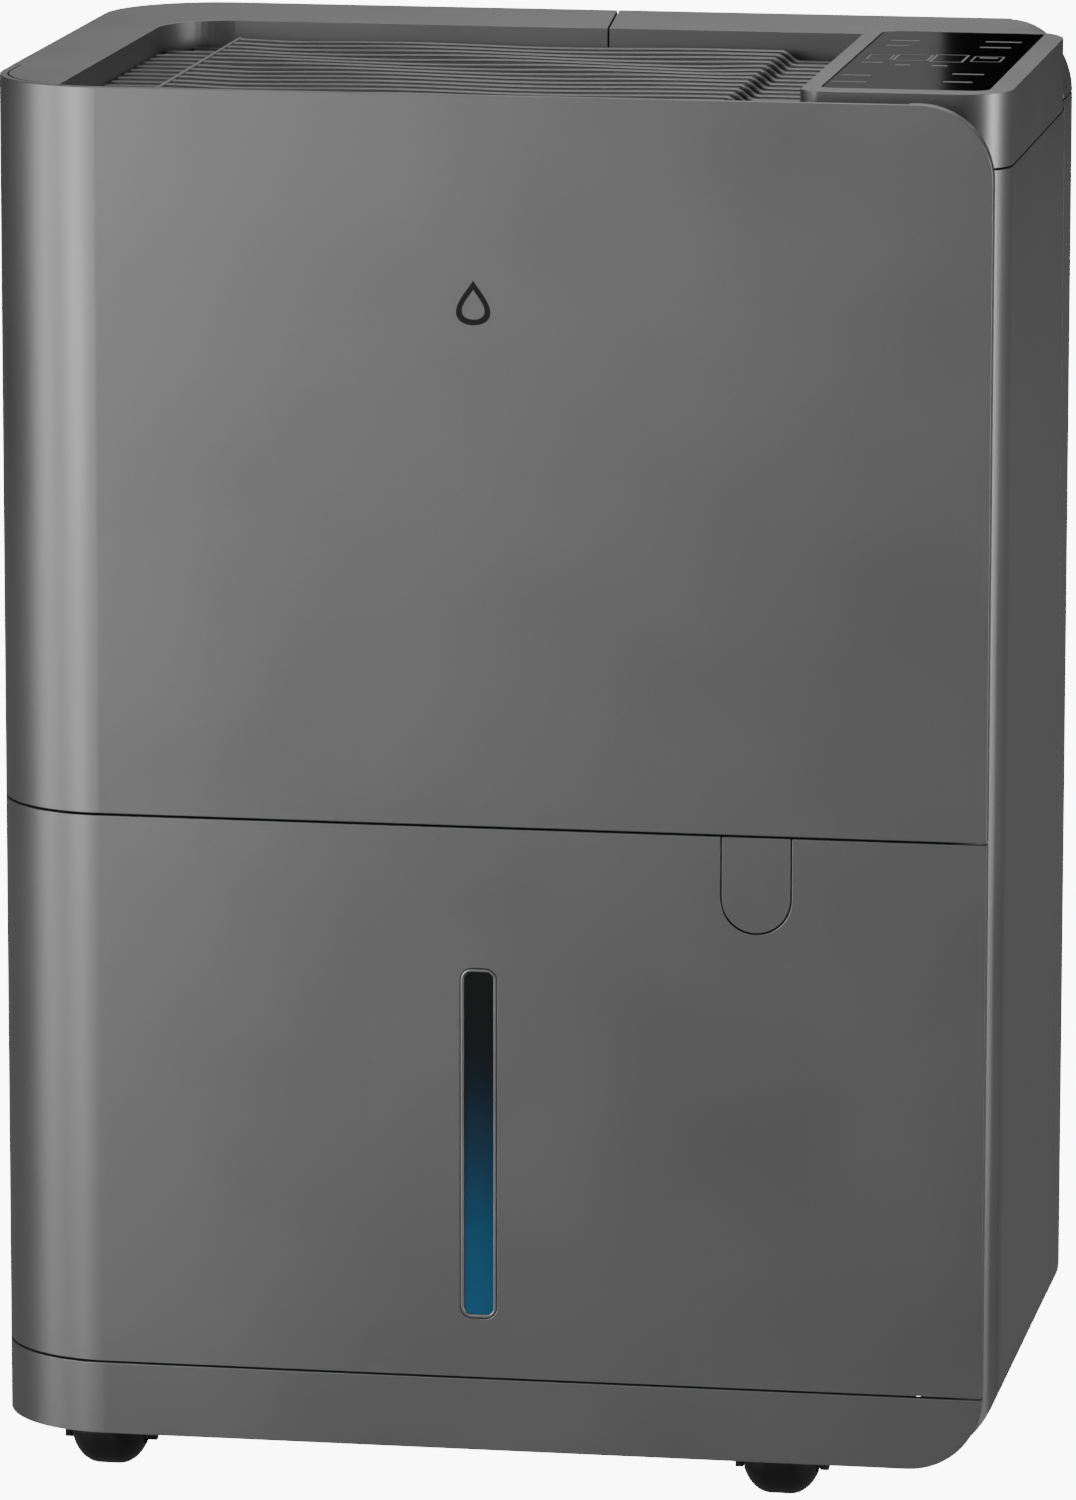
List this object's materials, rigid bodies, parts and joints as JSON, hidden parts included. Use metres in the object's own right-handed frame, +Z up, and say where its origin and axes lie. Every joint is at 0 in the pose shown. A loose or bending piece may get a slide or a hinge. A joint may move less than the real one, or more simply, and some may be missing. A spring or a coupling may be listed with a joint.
{
  "type": "dehumidifier",
  "caption": "Free-standing compressor dehumidifier with a pull-out water bucket, top air outlet, touch panel, rear filter and swivel casters.",
  "frame": {"origin": "on the floor under the centre of the casing", "axes": "+Z up, -Y towards the front face, +X towards the control panel's side"},
  "size_m": [0.385, 0.276, 0.5415],
  "materials": {
    "graphite_shell": "satin metallic graphite moulding",
    "grille_plastic": "satin graphite bars",
    "dark_plastic": "dark inner moulding",
    "panel_glass": "gloss black touch panel",
    "circuit_board": "green circuit board",
    "filter_net": "fine nylon net",
    "coil_aluminium": "thin corrugated fins",
    "copper_tube": "drawn copper tube",
    "black_steel": "black stoved paint",
    "rubber_black": "black rubber",
    "plain_steel": "zinc plated",
    "fan_plastic": "off-white moulding",
    "tank_plastic": "translucent smoky moulding",
    "bezel_trim": "satin silver trim",
    "lens_clear": "tinted clear lens",
    "gauge_light": "blue lit strip",
    "float_foam": "closed foam",
    "caster_nylon": "black nylon",
    "caster_tyre": "black wheel"
  },
  "bodies": {
    "casing": {"front_cover": "graphite_shell", "base_skirt": "graphite_shell", "side_panel_left": "graphite_shell", "side_panel_right": "graphite_shell", "rear_cover": "graphite_shell", "rim_left": "graphite_shell", "rim_right": "graphite_shell", "control_housing": "graphite_shell", "control_glass": "panel_glass", "control_board": "circuit_board", "outlet_grille": "grille_plastic", "front_frame": "dark_plastic", "base_pan": "dark_plastic", "partition": "dark_plastic", "drip_tray": "dark_plastic", "evaporator_fins": "coil_aluminium", "evaporator_tubes": "copper_tube", "condenser_fins": "coil_aluminium", "condenser_tubes": "copper_tube", "compressor": "black_steel", "compressor_feet": "rubber_black", "compressor_bolts": "plain_steel", "discharge_pipe": "copper_tube", "suction_pipe": "copper_tube", "filter_drier": "copper_tube", "run_capacitor": "plain_steel", "fan_scroll": "dark_plastic", "fan_motor": "plain_steel", "level_switch": "dark_plastic", "drain_outlet": "dark_plastic", "cord_gland": "dark_plastic", "rear_screws": "plain_steel"},
    "fan": {"fan_impeller": "fan_plastic", "motor_shaft": "plain_steel"},
    "intake": {"intake_grille": "dark_plastic", "filter_frame": "dark_plastic", "filter_mesh": "filter_net"},
    "bucket": {"bucket_front": "graphite_shell", "bucket_tank": "tank_plastic", "bucket_lid": "dark_plastic", "window_bezel": "bezel_trim", "window_lens": "lens_clear", "gauge_strip": "gauge_light", "flap_pin": "plain_steel", "pocket_cup": "dark_plastic"},
    "handle": {"bucket_handle": "dark_plastic"},
    "float": {"tank_float": "float_foam", "float_magnet": "plain_steel"},
    "flap": {"finger_flap": "graphite_shell", "flap_spring": "plain_steel"},
    "cap": {"drain_cap": "rubber_black"},
    "caster_fl": {"caster_fork_fl": "caster_nylon"},
    "wheel_fl": {"caster_wheel_fl": "caster_tyre"},
    "caster_fr": {"caster_fork_fr": "caster_nylon"},
    "wheel_fr": {"caster_wheel_fr": "caster_tyre"},
    "caster_rl": {"caster_fork_rl": "caster_nylon"},
    "wheel_rl": {"caster_wheel_rl": "caster_tyre"},
    "caster_rr": {"caster_fork_rr": "caster_nylon"},
    "wheel_rr": {"caster_wheel_rr": "caster_tyre"}
  },
  "joints": [
    {"name": "fan_spin", "type": "hinge", "parent": "casing", "child": "fan", "pos_m": [-0.02, 0, 0.40115], "axis": [0, 1, 0], "continuous": true},
    {"name": "bucket_slide", "type": "slide", "parent": "casing", "child": "bucket", "axis": [0, -1, 0], "range_m": [0, 0.15]},
    {"name": "handle_swing", "type": "hinge", "parent": "bucket", "child": "handle", "pos_m": [-0.0124, -0.0588, 0.223], "axis": [-1, 0, 0], "range_deg": [0, 90]},
    {"name": "float_rise", "type": "slide", "parent": "bucket", "child": "float", "axis": [0, 0, 1], "range_m": [0, 0.012]},
    {"name": "flap_push", "type": "hinge", "parent": "bucket", "child": "flap", "pos_m": [0.1034, -0.1315, 0.25765], "axis": [1, 0, 0], "range_deg": [0, 38], "stiffness_Nm_per_rad": 0.01, "springref_deg": -20.05},
    {"name": "intake_pull", "type": "slide", "parent": "casing", "child": "intake", "axis": [0, 1, 0], "range_m": [0, 0.03]},
    {"name": "drain_cap_pull", "type": "slide", "parent": "casing", "child": "cap", "axis": [0, 1, 0], "range_m": [0, 0.02]},
    {"name": "swivel_fl", "type": "hinge", "parent": "casing", "child": "caster_fl", "pos_m": [-0.153, -0.089, 0.03], "axis": [0, 0, 1], "continuous": true},
    {"name": "roll_fl", "type": "hinge", "parent": "caster_fl", "child": "wheel_fl", "pos_m": [-0.153, -0.098, 0.016], "axis": [1, 0, 0], "continuous": true},
    {"name": "swivel_fr", "type": "hinge", "parent": "casing", "child": "caster_fr", "pos_m": [0.109, -0.089, 0.03], "axis": [0, 0, 1], "continuous": true},
    {"name": "roll_fr", "type": "hinge", "parent": "caster_fr", "child": "wheel_fr", "pos_m": [0.109, -0.098, 0.016], "axis": [1, 0, 0], "continuous": true},
    {"name": "swivel_rl", "type": "hinge", "parent": "casing", "child": "caster_rl", "pos_m": [-0.153, 0.089, 0.03], "axis": [0, 0, 1], "continuous": true},
    {"name": "roll_rl", "type": "hinge", "parent": "caster_rl", "child": "wheel_rl", "pos_m": [-0.153, 0.098, 0.016], "axis": [1, 0, 0], "continuous": true},
    {"name": "swivel_rr", "type": "hinge", "parent": "casing", "child": "caster_rr", "pos_m": [0.109, 0.089, 0.03], "axis": [0, 0, 1], "continuous": true},
    {"name": "roll_rr", "type": "hinge", "parent": "caster_rr", "child": "wheel_rr", "pos_m": [0.109, 0.098, 0.016], "axis": [1, 0, 0], "continuous": true}
  ]
}
